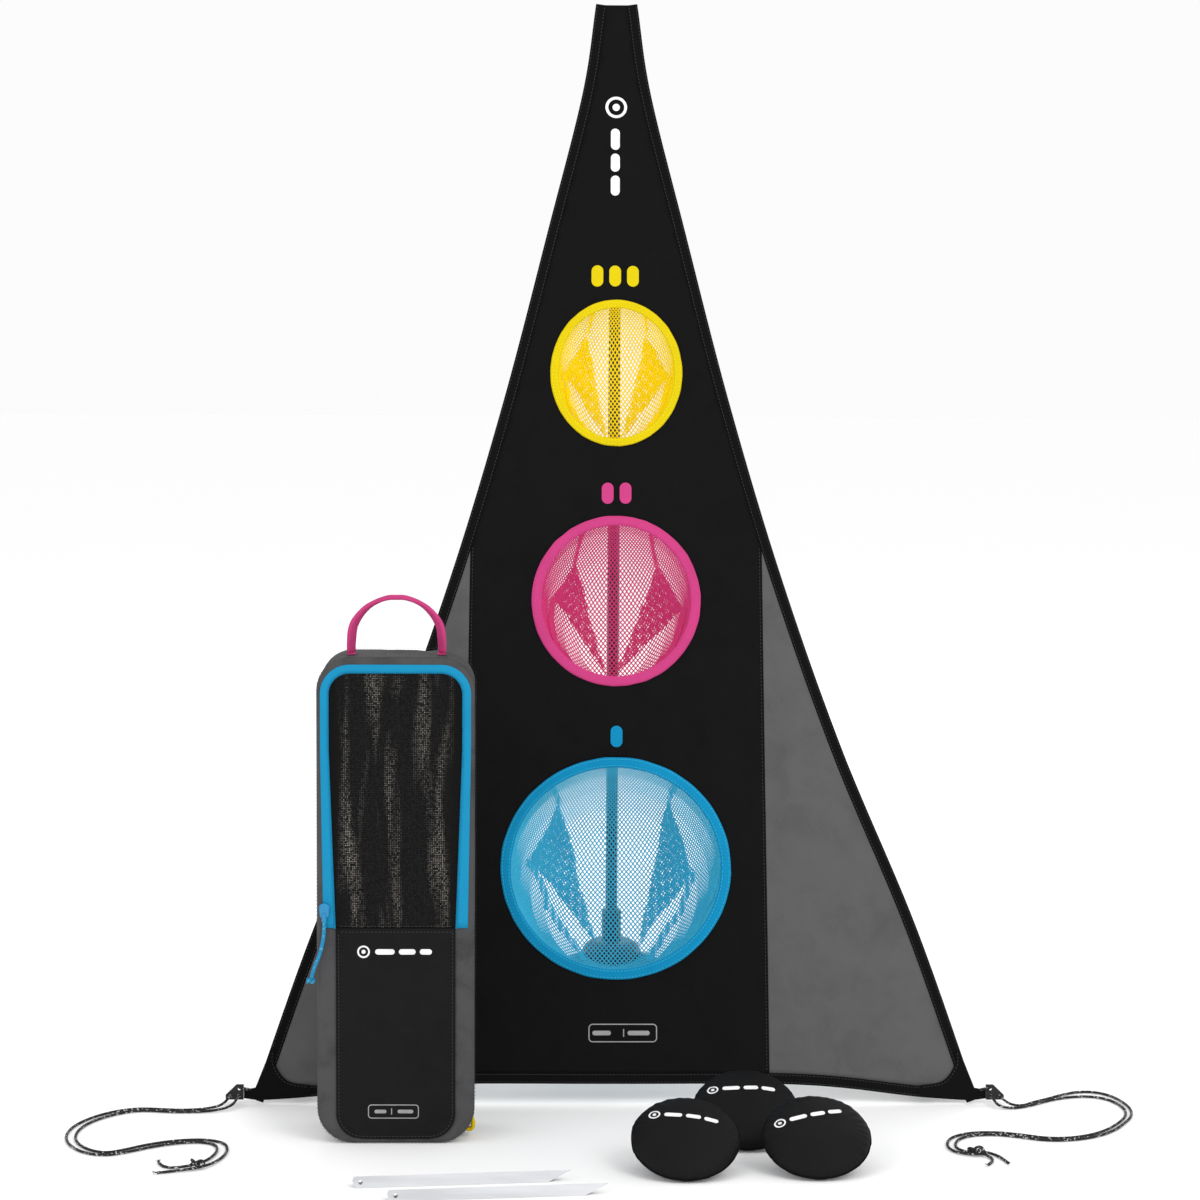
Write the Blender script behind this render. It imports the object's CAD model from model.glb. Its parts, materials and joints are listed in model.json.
"""Pocket toss target, discs, carry bag and stakes: the looks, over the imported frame.

Metres, +Z up, players at -Y. Flat pieces are drawn in the leaning sheet's plane or on the bag's front.
A surface is a tuple of verts, faces and, where a weave needs them, one UV pair in metres for each vert.
"""
import json
import math
import random
from collections import namedtuple
from itertools import groupby

import bpy
from mathutils import Matrix, Vector, noise
from mathutils.bvhtree import BVHTree
from mathutils.geometry import delaunay_2d_cdt


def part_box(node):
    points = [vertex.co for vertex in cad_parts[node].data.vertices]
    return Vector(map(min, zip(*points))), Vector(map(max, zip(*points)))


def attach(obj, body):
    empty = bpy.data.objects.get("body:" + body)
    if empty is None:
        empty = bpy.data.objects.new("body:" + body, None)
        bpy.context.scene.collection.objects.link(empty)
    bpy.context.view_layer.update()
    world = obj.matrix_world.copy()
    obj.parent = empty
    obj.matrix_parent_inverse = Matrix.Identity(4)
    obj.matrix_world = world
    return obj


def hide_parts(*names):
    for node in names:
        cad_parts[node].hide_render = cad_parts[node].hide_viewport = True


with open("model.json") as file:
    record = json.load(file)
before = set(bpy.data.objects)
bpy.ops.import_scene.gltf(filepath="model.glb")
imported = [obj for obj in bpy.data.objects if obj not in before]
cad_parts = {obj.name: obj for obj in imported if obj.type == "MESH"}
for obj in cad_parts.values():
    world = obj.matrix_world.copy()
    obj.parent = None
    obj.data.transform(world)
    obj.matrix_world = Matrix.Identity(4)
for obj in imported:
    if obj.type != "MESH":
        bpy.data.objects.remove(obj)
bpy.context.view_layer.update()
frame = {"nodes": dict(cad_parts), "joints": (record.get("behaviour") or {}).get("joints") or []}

MM = 0.001
X, Y, Z = Vector((1, 0, 0)), Vector((0, 1, 0)), Vector((0, 0, 1))
SIDES = {"left": -1, "right": 1}


def centre_of(node):
    """Middle of a CAD node's box."""
    low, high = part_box(node)
    return (low + high) / 2


POLE_Y = centre_of("pole_lower").y
LEAN = math.radians(10.47)
UPRIGHT = Matrix.Rotation(math.pi / 2, 4, "X")
SHEET = Matrix.Translation((0, POLE_Y - 0.24, 0)) @ Matrix.Rotation(math.pi / 2 - LEAN, 4, "X")
SHEET_UP = (SHEET.to_3x3() @ Z).normalized()
BAG = Matrix.Translation((centre_of("bag_shell").x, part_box("bag_shell")[0].y, 0)) @ UPRIGHT
BAG_UP = (BAG.to_3x3() @ Z).normalized()


# Finishes

def srgb(*values):
    """Linear colour of 8-bit display values."""
    parts = (value / 255 for value in values)
    return *(part / 12.92 if part < 0.04045 else ((part + 0.055) / 1.055) ** 2.4 for part in parts), 1.0


def scaled(colour, factor):
    return *(min(1.0, part * factor) for part in colour[:3]), 1.0


def principled(name, roughness, **sockets):
    """A Principled material, a function that adds nodes and one that fills or links its shader's sockets."""
    made = bpy.data.materials.new(name)
    made.use_nodes = True
    tree = made.node_tree

    def fill(node, inputs):
        for key, value in inputs.items():
            if isinstance(value, bpy.types.NodeSocket):
                tree.links.new(value, node.inputs[key])
            else:
                node.inputs[key].default_value = value

    def add(kind, inputs=None, **settings):
        node = tree.nodes.new("ShaderNode" + kind)
        for key, value in settings.items():
            setattr(node, key, value)
        fill(node, inputs or {})
        return node

    def feed(**inputs):
        fill(tree.nodes["Principled BSDF"], {key.replace("_", " "): value for key, value in inputs.items()})

    feed(Roughness=roughness, **sockets)
    return made, add, feed


def calc(add, operation, *values):
    return add("Math", dict(enumerate(values)), operation=operation).outputs[0]


def mottle(add, where, scale, detail, **inputs):
    return add("TexNoise", {"Vector": where, "Scale": scale, "Detail": detail, **inputs}).outputs["Fac"]


def remap(add, value, low=0.0, high=1.0, to_low=0.0, to_high=1.0):
    return add("MapRange", {"Value": value, "From Min": low, "From Max": high, "To Min": to_low,
                            "To Max": to_high}).outputs["Result"]


def bumped(add, height, strength, distance, invert=False, **inputs):
    return add("Bump", {"Height": height, "Strength": strength, "Distance": distance, **inputs},
               invert=invert).outputs["Normal"]


def ramp(add, factor, *stops):
    node = add("ValToRGB", {"Fac": factor})
    for element, (position, colour) in zip(node.color_ramp.elements, stops):
        element.position, element.color = position, colour
    return node.outputs["Color"]


def bands(add, where, axis, pitch):
    """Even bands across an axis, one for each pitch in metres."""
    return add("TexWave", {"Vector": where, "Scale": 0.31416 / pitch}, bands_direction=axis).outputs["Fac"]


CONTRAST = 0.35


def woven(name, colour, pitch=0.0009, uv=False, roughness=0.8, relief=0.25, patch=0.18, crease=0.0,
          specular=0.08, glow=0.0):
    """Woven cloth: crossing threads, cloudy shade and soft creases."""
    made, add, feed = principled(
        name, roughness, Specular_IOR_Level=specular, Emission_Color=colour, Emission_Strength=glow)
    where = add("TexCoord").outputs["UV" if uv else "Object"]
    thread = calc(add, "MAXIMUM", *(bands(add, where, axis, pitch) for axis in ("XY" if uv else "XZ")))
    cloud = mottle(add, where, 14.0, 6.0, Roughness=0.6)
    shade = calc(add, "MULTIPLY_ADD", thread, CONTRAST, cloud)
    shade = calc(add, "MULTIPLY_ADD", mottle(add, where, 700.0, 2.0), CONTRAST, shade)
    folds = mottle(add, where, 34.0, 5.0, Distortion=0.8)
    shade = calc(add, "MULTIPLY_ADD", calc(add, "SUBTRACT", folds, 0.5), crease * 500, shade)
    thread_bump = bumped(add, thread, relief, pitch * 0.3)
    feed(Base_Color=ramp(add, shade, (0.3 + CONTRAST * 0.4, scaled(colour, 1 - patch)),
                         (0.75 + CONTRAST, scaled(colour, 1 + patch))),
         Roughness=remap(add, cloud, to_low=roughness - 0.08, to_high=roughness + 0.08),
         Normal=bumped(add, folds, 0.6, crease, Normal=thread_bump))
    return made


def plain_grain(name, colour, roughness, relief=0.15, worn=None, metallic=0.0, stretch=(1, 1, 1)):
    """Moulded or machined surface: fine grain, uneven gloss and lighter worn edges."""
    made, add, feed = principled(name, roughness, Metallic=metallic)
    where = add("Mapping", {"Vector": add("TexCoord").outputs["Object"], "Scale": stretch}).outputs["Vector"]
    grain, cloud = mottle(add, where, 900.0, 4.0), mottle(add, where, 50.0, 5.0)
    body = ramp(add, cloud, (0.35, scaled(colour, 0.86)), (0.7, scaled(colour, 1.12)))
    if worn:
        edge = calc(add, "MULTIPLY_ADD", grain, 0.03, add("NewGeometry").outputs["Pointiness"])
        body = add("Mix", {0: remap(add, edge, 0.57, 0.68), 6: body, 7: worn}, data_type="RGBA").outputs[2]
    feed(Base_Color=body, Roughness=remap(add, cloud, to_low=roughness - 0.1, to_high=roughness + 0.12),
         Normal=bumped(add, grain, relief, 0.0002))
    return made


def braided(name, colour, fleck, amount=0.62):
    """Braided cord with light tracer flecks."""
    made, add, feed = principled(name, 0.7, Specular_IOR_Level=0.25)
    where = add("TexCoord").outputs["Object"]
    cells = add("TexVoronoi", {"Vector": where, "Scale": 900.0}).outputs["Distance"]
    feed(Base_Color=ramp(add, mottle(add, where, 380.0, 1.0), (amount, colour), (amount + 0.02, fleck)),
         Normal=bumped(add, cells, 0.7, 0.0004, invert=True))
    return made


def window_cloth(name):
    """Black mesh whose open cells catch the light along upright folds."""
    made, add, feed = principled(name, 0.6, Specular_IOR_Level=0.08)
    where = add("TexCoord").outputs["UV"]
    cells = add("TexVoronoi", {"Vector": where, "Scale": 520.0, "Randomness": 0.2}, voronoi_dimensions="2D")
    dot = remap(add, cells.outputs["Distance"], 0.42, 0.22)
    tall = add("Mapping", {"Vector": where, "Scale": (46, 5, 1)}).outputs["Vector"]
    folds = remap(add, mottle(add, tall, 1.0, 3.0, Distortion=0.4), 0.48, 0.84, 0.03)
    aside = calc(add, "ABSOLUTE", add("SeparateXYZ", {0: where}).outputs["X"])
    light = add("SeparateColor", {"Color": cells.outputs["Color"]}).outputs["Red"]
    for part in (dot, folds, remap(add, aside, 0.064, 0.052)):
        light = calc(add, "MULTIPLY", light, part)
    feed(Base_Color=ramp(add, light, (0.0, srgb(14, 14, 15)), (0.45, srgb(150, 145, 136))),
         Normal=bumped(add, dot, 0.8, 0.0006, invert=True))
    return made


FINISH = {
    "panel_black": woven("cloth_black", srgb(11, 11, 12), crease=0.0016, patch=0.3, specular=0.1),
    "panel_grey": woven("cloth_grey", srgb(84, 84, 84), crease=0.0014),
    "tape": woven("tape_black", srgb(11, 11, 12), pitch=0.0012, uv=True, relief=0.5),
    "moulding": plain_grain("moulded_black", srgb(34, 34, 36), 0.42, worn=srgb(70, 70, 72)),
    "tube": plain_grain("tube_anodised", srgb(62, 64, 67), 0.36, metallic=0.75, stretch=(1, 1, 0.06)),
    "ferrule": plain_grain("ferrule_metal", srgb(190, 192, 195), 0.3, metallic=1.0),
    "foot": plain_grain("foot_rubber", srgb(28, 28, 28), 0.8, relief=0.4),
    "elastic": braided("elastic_braid", srgb(40, 40, 42), srgb(120, 120, 120)),
    "adjuster": plain_grain("adjuster_plastic", srgb(9, 9, 10), 0.62),
    "cord": braided("cord_braid", srgb(30, 30, 31), srgb(185, 185, 182)),
    "bag_grey": woven("bag_cloth_grey", srgb(66, 66, 67), pitch=0.0008, crease=0.0022, patch=0.35),
    "bag_black": woven("bag_cloth_black", srgb(19, 19, 20), pitch=0.0008, crease=0.0014, patch=0.3,
                       specular=0.12),
    "bag_mesh": window_cloth("bag_window_mesh"),
    "zip": woven("zip_tape", srgb(26, 134, 176), pitch=0.0014, uv=True, relief=0.6, patch=0.1),
    "slider": plain_grain("slider_paint", srgb(20, 124, 172), 0.3),
    "pull": braided("pull_braid", srgb(22, 130, 176), srgb(84, 165, 196), amount=0.6),
    "handle": woven("handle_webbing", srgb(188, 62, 118), pitch=0.0016, uv=True, relief=0.6),
    "loop": woven("loop_webbing", srgb(214, 184, 6), pitch=0.0014, uv=True, relief=0.5),
    "disc_cover": woven("disc_cloth", srgb(13, 13, 14), crease=0.0007, specular=0.12, roughness=0.6),
    "stake": plain_grain("stake_alloy", srgb(198, 199, 202), 0.34, metallic=0.4, relief=0.1,
                         stretch=(0.05, 1, 1)),
    "thread": plain_grain("thread", srgb(52, 52, 54), 0.7),
    "print": plain_grain("print_white", srgb(238, 238, 238), 0.55),
    "print_grey": plain_grain("print_grey", srgb(150, 150, 150), 0.55),
}
for shade, cloth, yarn in (("yellow", srgb(208, 187, 14), srgb(222, 196, 14)),
                           ("pink", srgb(190, 62, 122), srgb(190, 58, 112)),
                           ("blue", srgb(14, 132, 178), srgb(58, 160, 190))):
    FINISH[shade] = woven(f"rim_{shade}_cloth", cloth, patch=0.1, crease=0.0006)
    FINISH[f"net_{shade}"] = woven(f"yarn_{shade}", yarn, roughness=0.6, glow=0.3)


# Numbers, lines and surfaces

def wander(*place):
    """Smooth noise at a place, about -1 to 1."""
    return noise.noise(Vector(place))


def evenly(low, high, count):
    """The ends of count equal steps."""
    return [low + (high - low) * k / count for k in range(count + 1)]


def polar(degrees):
    return math.cos(math.radians(degrees)), math.sin(math.radians(degrees))


def looked_up(table, value):
    """Straight-line interpolation in a table of rising (value, result)."""
    for (low, first), (high, last) in zip(table, table[1:]):
        if value <= high:
            return first + (last - first) * max(0.0, value - low) / max(high - low, 1e-9)
    return table[-1][1]


def ellipse(half_width, half_height, count, u=0.0, v=0.0):
    return [(u + half_width * math.cos(turn), v + half_height * math.sin(turn))
            for turn in evenly(0, math.tau, count)[:-1]]


def rounded_box(u, v, half_width, half_height, radius=None, count=40):
    """Outline of a box with rounded corners, or of a bar with round ends where no radius is given."""
    radius = radius or min(half_width, half_height)
    outline = []
    for k in range(count):
        x, y = math.cos(math.tau * (k + 0.5) / count), math.sin(math.tau * (k + 0.5) / count)
        outline.append((u + math.copysign(half_width - radius, x) + radius * x,
                        v + math.copysign(half_height - radius, y) + radius * y))
    return outline


def resampled(points, spacing):
    """Points at an even spacing along a polyline."""
    line = [Vector(point) for point in points]
    lengths = [0.0]
    for start, end in zip(line, line[1:]):
        lengths.append(lengths[-1] + (end - start).length)
    result, segment = [], 0
    for target in evenly(0.0, lengths[-1], max(3, round(lengths[-1] / spacing))):
        while segment < len(line) - 2 and lengths[segment + 1] < target:
            segment += 1
        span = lengths[segment + 1] - lengths[segment]
        share = (target - lengths[segment]) / span if span else 0
        result.append(line[segment].lerp(line[segment + 1], share))
    return result


def curve_through(points, steps):
    """A smooth polyline through the points."""
    line = [Vector(point) for point in points]
    padded = [line[0] * 2 - line[1]] + line + [line[-1] * 2 - line[-2]]
    result = []
    for a, b, c, d in zip(padded, padded[1:], padded[2:], padded[3:]):
        for q in evenly(0, 1, steps)[:-1]:
            result.append((b * 2 + (c - a) * q + (a * 2 - b * 5 + c * 4 - d) * q * q
                           + (b * 3 - a - c * 3 + d) * q ** 3) / 2)
    return result + [line[-1]]


def heading(line, index, closed=False):
    """From the point before to the point after, on a polyline."""
    if closed:
        return line[(index + 1) % len(line)] - line[index - 1]
    return line[min(index + 1, len(line) - 1)] - line[max(index - 1, 0)]


def stations_on(line, up_at, closed=False):
    """Stations (origin, across, up) along a line: across lies in the surface, up is its normal."""
    result = []
    for index, place in enumerate(line):
        along, up = heading(line, index, closed).normalized(), up_at(place)
        result.append((place, along.cross(up).normalized(), up))
    return result


def grid(rows, columns, point):
    """A patch. point(across, along) takes fractions and gives (place, uv)."""
    spots = [point(across, along) for along in evenly(0, 1, rows) for across in evenly(0, 1, columns)]
    verts, uvs = zip(*spots)
    faces = []
    for row in range(rows):
        start = row * (columns + 1)
        faces += [(k, k + 1, k + columns + 2, k + columns + 1) for k in range(start, start + columns)]
    return verts, faces, uvs


def walls(rings, girth, closed=False):
    """Quads between rings of verts that follow one after the other."""
    faces = []
    for index in range(rings if closed else rings - 1):
        here, after = index * girth, (index + 1) % rings * girth
        for k in range(girth):
            beside = (k + 1) % girth
            faces.append((here + k, here + beside, after + beside, after + k))
    return faces


def caps(rings, girth):
    return [tuple(range(girth))[::-1], tuple(range((rings - 1) * girth, rings * girth))]


def sweep(stations, profile, closed=False):
    """A solid band: the profile is a closed list of (across, up) offsets from each station."""
    verts, uvs, along, last = [], [], 0.0, stations[0][0]
    around = [0.0]
    for start, end in zip(profile, profile[1:]):
        around.append(around[-1] + math.dist(start, end))
    for origin, across, up in stations:
        along += (origin - last).length
        last = origin
        verts += [origin + across * a + up * b for a, b in profile]
        uvs += [(along, girth) for girth in around]
    faces = walls(len(stations), len(profile), closed)
    return verts, faces if closed else faces + caps(len(stations), len(profile)), uvs


def merged(surfaces):
    """Many surfaces in one."""
    verts, faces, uvs = [], [], []
    for more, sides, *pairs in surfaces:
        faces += [tuple(index + len(verts) for index in face) for face in sides]
        verts += more
        uvs += pairs[0] if pairs else []
    return verts, faces, uvs


def tape_profile(low, high, thickness, flat=0.85):
    """Closed outline of a flat tape between two edges, its corners rounded."""
    half = thickness / 2
    soft = min(half, (high - low) / 4)
    front = [
        (low, 0), (low + soft * 0.4, half * 0.8), (low + soft * 1.4, half),
        ((low + high) / 2, half * (2 - flat)),
        (high - soft * 1.4, half), (high - soft * 0.4, half * 0.8), (high, 0)]
    return front + [(a, -b) for a, b in front[-2:0:-1]]


# Making pieces

def placed(made, body, slot, node=None):
    """Let an object ride on a body, and say its slot and the node that it stands for."""
    bpy.context.scene.collection.objects.link(made)
    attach(made, body)
    if node:
        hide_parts(node)
    return made


def piece(name, surface, finish, body, node=None, slot=None, smooth=True):
    """A mesh object of one finish."""
    verts, faces, uvs = (*surface, None)[:3]
    mesh = bpy.data.meshes.new(name)
    mesh.from_pydata([tuple(vert) for vert in verts], [], faces)
    mesh.validate()
    if uvs:
        layer = mesh.uv_layers.new(name="cloth")
        for loop in mesh.loops:
            layer.data[loop.index].uv = uvs[loop.vertex_index]
    mesh.polygons.foreach_set("use_smooth", [smooth] * len(mesh.polygons))
    mesh.materials.append(FINISH[finish])
    return placed(bpy.data.objects.new(name, mesh), body, slot or finish, node)


def thicken(made, thickness, offset=0.0):
    solid = made.modifiers.new("thickness", "SOLIDIFY")
    solid.thickness, solid.offset = thickness, offset


STITCH, STITCH_PITCH, THREAD = 0.0026, 0.004, 0.00035
STITCH_SECTION = [(0, 0.2), (1, 0.2), (0.6, 1), (-0.6, 1), (-1, 0.2)]
SPINDLE = walls(2, 5)
for corner in range(5):
    SPINDLE += [((corner + 1) % 5, corner, 10), (5 + corner, 5 + (corner + 1) % 5, 11)]


def stitch_row(name, line, up_at, body, finish="thread"):
    """A run of raised stitches, each a small spindle."""
    stitches = []
    for place, across, up in stations_on(resampled(line, STITCH_PITCH), up_at)[1:-1]:
        along = up.cross(across) * STITCH
        verts = [place + along * share + (across * a + up * b) * THREAD
                 for share in (-0.3, 0.3) for a, b in STITCH_SECTION]
        stitches.append((verts + [place - along / 2, place + along / 2], SPINDLE))
    piece(name, merged(stitches), finish, body, slot="tape")


def stitch_pair(name, stations, up_at, body, finish="thread", closed=False, *, aside, lift):
    """Two rows of stitches, one to each side of a band's middle."""
    for index, shift in enumerate((aside, -aside)):
        row = [place + across * shift + up * lift for place, across, up in stations]
        stitch_row(f"{name}_{index}", row + row[:1] if closed else row, up_at, body, finish)


def nurbs(name, points, radius, finish, body, node):
    """A cord whose route is a NURBS spline, its points in millimetres."""
    curve = bpy.data.curves.new(name, "CURVE")
    curve.dimensions = "3D"
    spline = curve.splines.new("NURBS")
    spline.points.add(len(points) - 1)
    for control, point in zip(spline.points, points):
        control.co = (*[part * MM for part in point], 1)
    spline.order_u, spline.resolution_u, spline.use_endpoint_u = 3, 8, True
    curve.bevel_depth, curve.bevel_resolution, curve.use_fill_caps = radius, 3, True
    curve.materials.append(FINISH[finish])
    return placed(bpy.data.objects.new(name, curve), body, finish, node)


# Thin plates on the sheet, the bag and the discs

PRINT = 0.0003


def flat_patch(name, outline, finish, body, place, thick=PRINT, node=None):
    """A plate of a 2-D outline. place(u, v, n) puts a point at a height n over the cloth."""
    spots, _, inner, sources, *_ = delaunay_2d_cdt(
        [Vector(point) for point in outline], [], [list(range(len(outline)))], 1, 1e-7)
    count = len(spots)
    verts = [place(*spot, height) for height in (0.0, thick) for spot in spots]
    faces = [tuple(face[::-1]) for face in inner] + [tuple(index + count for index in face) for face in inner]
    rim = [next(index for index, ids in enumerate(sources) if k in ids) for k in range(len(outline))]
    faces += [(start, end, end + count, start + count) for start, end in zip(rim, rim[1:] + rim[:1])]
    piece(name, (verts, faces, [tuple(spot) for spot in spots] * 2), finish, body, node, smooth=False)


def ring_patch(name, outer, inner, finish, body, place):
    """A plate between two outlines of the same count."""
    around = ((outer, 0.0), (outer, PRINT), (inner, PRINT), (inner, 0.0))
    verts = [place(*spot, height) for outline, height in around for spot in outline]
    piece(name, (verts, walls(4, len(outer))), finish, body, smooth=False)


def make_sign(prefix, body, place, centre, radii, dot, bars):
    """A plain ring with a dot, and plain bars."""
    outlines = [ellipse(radius, radius, 40, *centre) for radius in radii]
    ring_patch(f"{prefix}sign_ring", *outlines, "print", body, place)
    flat_patch(f"{prefix}sign_dot", rounded_box(*centre, dot, dot), "print", body, place)
    for k, bar in enumerate(bars):
        flat_patch(f"{prefix}sign_bar_{k}", rounded_box(*bar), "print", body, place)


def make_badge(prefix, body, place, centre, frames, bars):
    """A rounded frame (half sizes and corner radius) round plain bars (middle and half sizes)."""
    outlines = [rounded_box(*centre, *shape, count=24) for shape in frames]
    ring_patch(f"{prefix}badge_frame", *outlines, "print_grey", body, place)
    for k, (u, half_width, half_height) in enumerate(bars):
        flat_patch(f"{prefix}badge_bar_{k}", rounded_box(u, centre[1], half_width, half_height), "print_grey",
                   body, place)


def raised(place, level):
    return lambda u, v, n: place(u, v, n + level)


# Camera and light

def make_stage():
    """Camera at the viewing angle, soft studio light and a pale floor."""
    scene = bpy.context.scene
    camera = bpy.data.objects.new("camera", bpy.data.cameras.new("camera"))
    camera.data.lens, camera.data.sensor_width, camera.data.clip_end = 108.1, 36.0, 50
    pitch, yaw, roll = math.radians(6.079), math.radians(1.208), math.radians(0.3)
    camera.matrix_world = (
        Matrix.Translation((-0.105, POLE_Y - 4.24, 1.0)) @ Matrix.Rotation(-yaw, 4, "Z")
        @ Matrix.Rotation(math.pi / 2 - pitch, 4, "X") @ Matrix.Rotation(roll, 4, "Z"))
    scene.collection.objects.link(camera)
    scene.camera = camera
    for name, place, size, power in (
            ("key", (2.4, -3.4, 3.4), 2.2, 64), ("fill", (-2.8, -3.0, 2.2), 2.6, 26),
            ("back", (0.4, 3.2, 3.0), 2.8, 40)):
        lamp = bpy.data.lights.new(name, "AREA")
        lamp.energy, lamp.size = power, size
        light = bpy.data.objects.new(name, lamp)
        aim = Z * 0.5 - Vector(place)
        light.matrix_world = Matrix.Translation(place) @ aim.to_track_quat("-Z", "Y").to_matrix().to_4x4()
        scene.collection.objects.link(light)
    world = bpy.data.worlds.new("studio")
    world.use_nodes = True
    sky = world.node_tree.nodes["Background"].inputs
    sky["Color"].default_value, sky["Strength"].default_value = (1, 1, 1, 1), 0.97
    scene.world = world
    scene.view_settings.view_transform = "Standard"
    reach, level = 14, -0.0002
    mesh = bpy.data.meshes.new("floor")
    mesh.from_pydata([(x * reach, y * reach, level) for x, y in ((-1, -1), (1, -1), (1, 1), (-1, 1))],
                     [], [(0, 1, 2, 3)])
    mesh.materials.append(principled(
        "floor_paint", 0.9, Base_Color=(0.92, 0.92, 0.92, 1), Emission_Color=(1, 1, 1, 1),
        Emission_Strength=0.08)[0])
    floor = bpy.data.objects.new("floor", mesh)
    scene.collection.objects.link(floor)


# Cords: the routes of the CAD tubes in millimetres, from the exit to the end

ON_GROUND = 1.7
GUYLINES = {
    "right_a": (0.677, [
        (435.5, -141.0, 7.9), (435.5, -157.5, 10.9), (445, -166, 4.0), (461, -162), (474, -146), (492, -131),
        (511, -112), (531, -97), (552, -97), (568, -115), (577, -144), (581, -177), (576, -211), (562, -243),
        (545, -275), (522, -300), (493, -315), (464, -316), (439, -301), (415, -290), (389, -292),
        (371, -307), (363, -331), (364, -354), (375, -368, 2.4), (391, -367, 2.9), (403, -378), (408, -394),
        (411, -409)]),
    "right_b": (0.670, [
        (426, -141.0, 7.9), (426, -159.0, 11.2), (431, -171, 3.6), (446, -174), (465, -165), (483, -147),
        (503, -130), (526, -119), (547, -119), (562, -132), (571, -156), (574, -182), (569, -212),
        (556, -241), (539, -270), (517, -293), (491, -306), (466, -306), (441, -291), (414, -280),
        (385, -283), (363, -301), (354, -330), (356, -359), (371, -377, 2.4), (388, -374, 2.9), (396, -388),
        (396, -403), (389, -416)]),
    "left_a": (0.656, [
        (-435.5, -141.0, 7.9), (-435.5, -155.5, 10.6), (-443, -166, 3.4), (-459, -176), (-481, -182),
        (-505, -180), (-529, -174), (-553, -181), (-576, -203), (-593, -234), (-602, -268), (-602, -303),
        (-593, -337), (-575, -367), (-550, -379), (-528, -364), (-506, -343), (-481, -327), (-455, -321),
        (-436, -332), (-432, -358), (-436, -386), (-445, -411, 2.4), (-460, -428, 2.9), (-477, -429),
        (-488, -417), (-491, -402)]),
    "left_b": (0.660, [
        (-426, -141.0, 7.9), (-426, -159.0, 11.2), (-432, -174, 3.6), (-452, -186), (-479, -191),
        (-505, -189), (-528, -183), (-548, -190), (-568, -210), (-584, -238), (-592, -270), (-592, -302),
        (-584, -333), (-568, -358), (-549, -368), (-531, -353), (-508, -331), (-482, -316), (-453, -310),
        (-427, -324), (-421, -356), (-425, -389), (-435, -418, 2.4), (-451, -436, 2.9), (-470, -441),
        (-488, -448)]),
}
ZIP_PULL = [
    (-319, -327.4, 245), (-319, -327.4, 234), (-320.8, -328.2, 221), (-324.5, -329, 207),
    (-330.5, -329.8, 194), (-333.5, -330.2, 181)]
FIBRE = [(-0.0003, 0), (0, 0.0004), (0.0003, 0)]


def knot(name, node, finish, body, bearing, scale):
    """An overhand knot of cord in the space of its CAD solid."""
    centre, turned = centre_of(node), Matrix.Rotation(math.radians(bearing), 4, "Z")
    line = []
    for t in evenly(0, math.tau, 60)[:-1]:
        loop = Vector((math.sin(t) + 2 * math.sin(2 * t), (math.cos(t) - 2 * math.cos(2 * t)) * 0.8,
                       -math.sin(3 * t) * 0.8))
        line.append(centre + turned @ (loop * scale))
    stations = []
    for index, place in enumerate(line):
        along = heading(line, index, closed=True).normalized()
        across = along.cross(Z)
        across = across.normalized() if across.length > 0.1 else X
        stations.append((place, across, across.cross(along)))
    return piece(name, sweep(stations, ellipse(0.0015, 0.0015, 8), closed=True), finish, body, node)


def frayed_end(name, points, body):
    """Loose fibres fanned out at a cord's cut end."""
    end, before = Vector(points[-1]) * MM, Vector(points[-2]) * MM
    along = (end - before).normalized()
    across = along.cross(Z)
    chance, fibres = random.Random(name), []
    for _ in range(9):
        spread, rise = chance.uniform(-0.5, 0.5), chance.uniform(0, 0.25)
        aim = (along + across * spread + Z * rise).normalized()
        start = end - along * 0.001 + across * spread * 0.001
        side = aim.cross(Z).normalized()
        ends = start, start + aim * chance.uniform(0.004, 0.006)
        fibres.append(sweep([(place, side, side.cross(aim)) for place in ends], FIBRE))
    return piece(name, merged(fibres), "cord", body)


def make_cords():
    """Guylines with their knots and frayed ends, and the zip's pull."""
    knots = {label: knot(f"knot_{label}_cord", f"knot_{label}", "cord", "sheet", bearing, scale=0.0031)
             for label, bearing in (("left", -44), ("right", 6))}
    for label, (length, route) in GUYLINES.items():
        points = [(*point, ON_GROUND)[:3] for point in route]
        strand = nurbs(f"guyline_{label}_cord", points, 0.0015, "cord", "sheet", f"guyline_{label}")
        ends = [frayed_end(f"guyline_{label}_fray", points, "sheet")]
        if label.endswith("a"):
            ends.append(knots[label[:-2]])
        [part * MM for part in points[0]]
    pull = nurbs("zip_pull_cord", ZIP_PULL, 0.002, "pull", "slider", "zip_pull")
    end = knot("zip_pull_knot", "zip_knot", "pull", "slider", bearing=90, scale=0.0017)


# Target sheet

SIDE_POINTS = [
    (0.411, 0.003), (0.342, 0.2), (0.259, 0.4), (0.189, 0.6), (0.130, 0.8), (0.079, 1.0), (0.0395, 1.16),
    (0.024, 1.265)]
HEM_POINTS = [(0.411, 0.003), (0.345, 0.0075), (0.21, 0.021), (0, 0.022)]
SIDE_LINE = [(height, half) for half, height in curve_through(SIDE_POINTS, 24)]
HEM_LINE = [tuple(point) for point in curve_through(HEM_POINTS, 24)][::-1]
TAPE = 0.0125
CLOTH = 0.0009
Pocket = namedtuple("Pocket", "height half_width half_height rim depth finish bars bar_rise bar_shift")
POCKETS = {
    "upper": Pocket(0.8345, 0.076, 0.085, 0.0095, 0.062, "yellow", 3, 0.0275, -0.0015),
    "middle": Pocket(0.5714, 0.097, 0.098, 0.0115, 0.092, "pink", 2, 0.0258, 0.0004),
    "lower": Pocket(0.2660, 0.1315, 0.1265, 0.012, 0.124, "blue", 1, 0.0235, 0.0006),
}


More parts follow.
